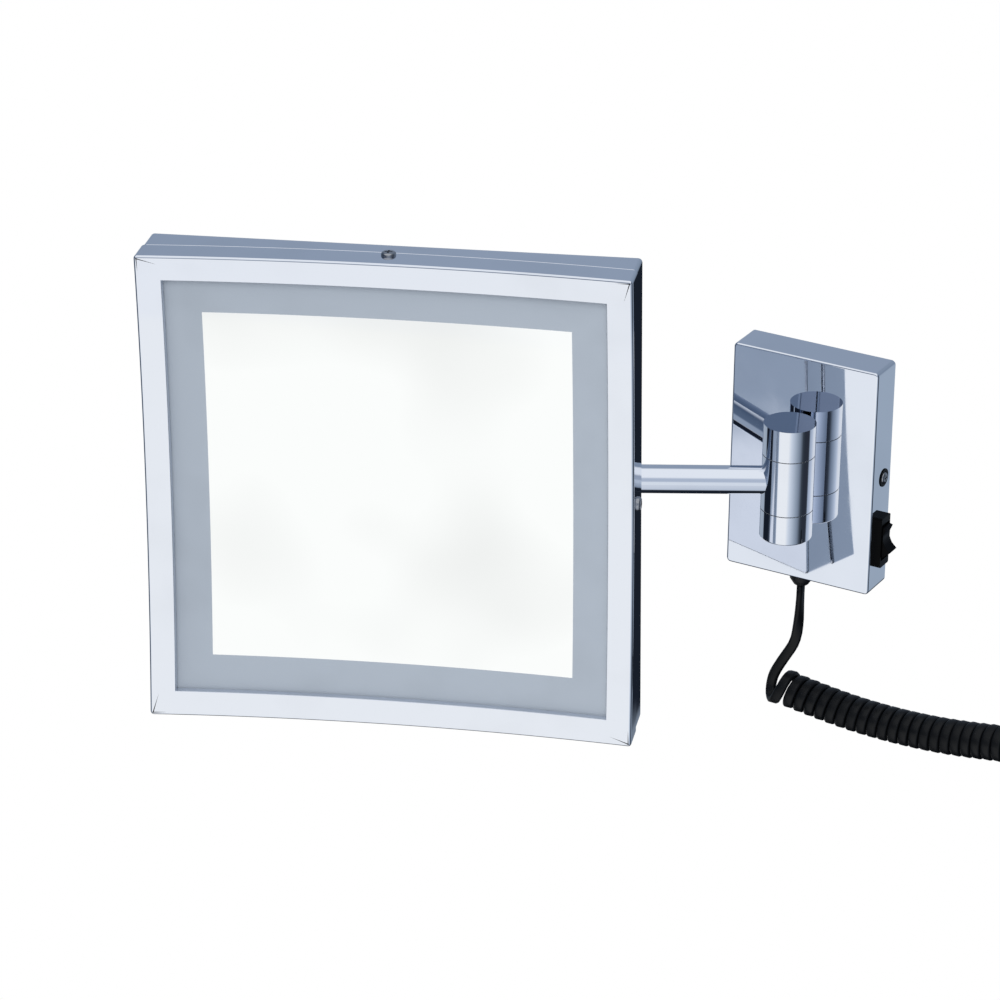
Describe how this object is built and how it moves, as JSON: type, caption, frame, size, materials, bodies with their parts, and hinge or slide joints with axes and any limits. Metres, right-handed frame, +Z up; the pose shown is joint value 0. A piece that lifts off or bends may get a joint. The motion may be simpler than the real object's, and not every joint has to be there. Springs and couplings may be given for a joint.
{
  "type": "wall-mounted lighted magnifying mirror",
  "caption": "Square dished magnifying mirror with a lit frosted border, on a single swing arm from a slim wall box with a side rocker switch and a curly cord with a plug.",
  "frame": {"origin": "centre of the wall box's back, on the wall plane, at the middle of its four wall screw holes", "axes": "+Z up, +Y into the wall, -Y out towards the user, +X to the right as one faces the wall"},
  "size_m": [0.4574, 0.2183, 0.2519],
  "materials": {
    "chrome": "polished",
    "zinc": "zinc plated",
    "steel": "satin",
    "nylon": "matte",
    "dark_plastic": "matte",
    "black_plastic": "satin",
    "white_plastic": "matte",
    "board": "satin",
    "board_white": "satin",
    "yellow_tape": "matte",
    "capacitor": "gloss",
    "black_rubber": "matte",
    "lead": "matte",
    "foam": "matte",
    "mirror_glass": "silvered, with a frosted band",
    "opal": "opal",
    "chips": "gloss",
    "brass": "polished",
    "cord": "satin",
    "cord_coil": "satin"
  },
  "bodies": {
    "wall_unit": {"wall_bracket": "zinc", "wall_cover": "chrome", "backing_plate": "zinc", "ring_screws": "zinc", "cup_washers": "dark_plastic", "side_screws": "steel", "upper_barrel": "chrome", "lower_barrel": "chrome", "pivot_axle": "steel", "pivot_washers": "nylon", "switch_body": "black_plastic", "switch_terminals": "brass", "driver_case": "white_plastic", "driver_board": "board", "driver_coil": "yellow_tape", "driver_capacitor": "capacitor", "terminal_block": "white_plastic", "cable_gland": "black_rubber", "gland_nut": "dark_plastic", "cord_tail": "cord", "cord_coil": "cord_coil", "cord_lead": "cord", "plug_relief": "black_rubber", "plug_body": "black_plastic", "plug_blades": "brass"},
    "rocker": {"switch_rocker": "black_plastic"},
    "arm": {"arm_knuckle": "chrome", "arm_tube": "chrome", "arm_end": "chrome", "arm_set_screw": "steel", "arm_lead": "lead"},
    "swivel": {"swivel_yoke": "chrome", "swivel_pin": "chrome", "swivel_clip": "steel", "swivel_washers": "nylon"},
    "head": {"hinge_bracket": "chrome", "tilt_pin": "chrome", "tilt_nut": "chrome", "tilt_washers": "steel", "hinge_screws": "steel", "clamping_disc": "zinc", "front_frame": "chrome", "glass_gasket": "foam", "mirror_glass": "mirror_glass", "diffuser": "opal", "rear_casing": "chrome", "side_tabs": "zinc", "frame_screws": "chrome", "light_strips": "board_white", "light_chips": "chips", "lead_connector": "white_plastic", "foam_pads": "foam"}
  },
  "joints": [
    {"name": "arm_swing", "type": "hinge", "parent": "wall_unit", "child": "arm", "pos_m": [0, -0.0311, 0], "axis": [0, 0, 1], "range_deg": [-28, 148]},
    {"name": "head_swivel", "type": "hinge", "parent": "arm", "child": "swivel", "pos_m": [-0.14581, -0.11393, 0], "axis": [0, 0, 1], "range_deg": [-120, 15]},
    {"name": "head_tilt", "type": "hinge", "parent": "swivel", "child": "head", "pos_m": [-0.14069, -0.12856, 0], "axis": [0.9438, 0.3305, 0], "range_deg": [-20, 20]},
    {"name": "switch_rock", "type": "hinge", "parent": "wall_unit", "child": "rocker", "pos_m": [0.0343, -0.009, -0.0292], "axis": [0, 1, 0], "range_deg": [0, 24]}
  ]
}
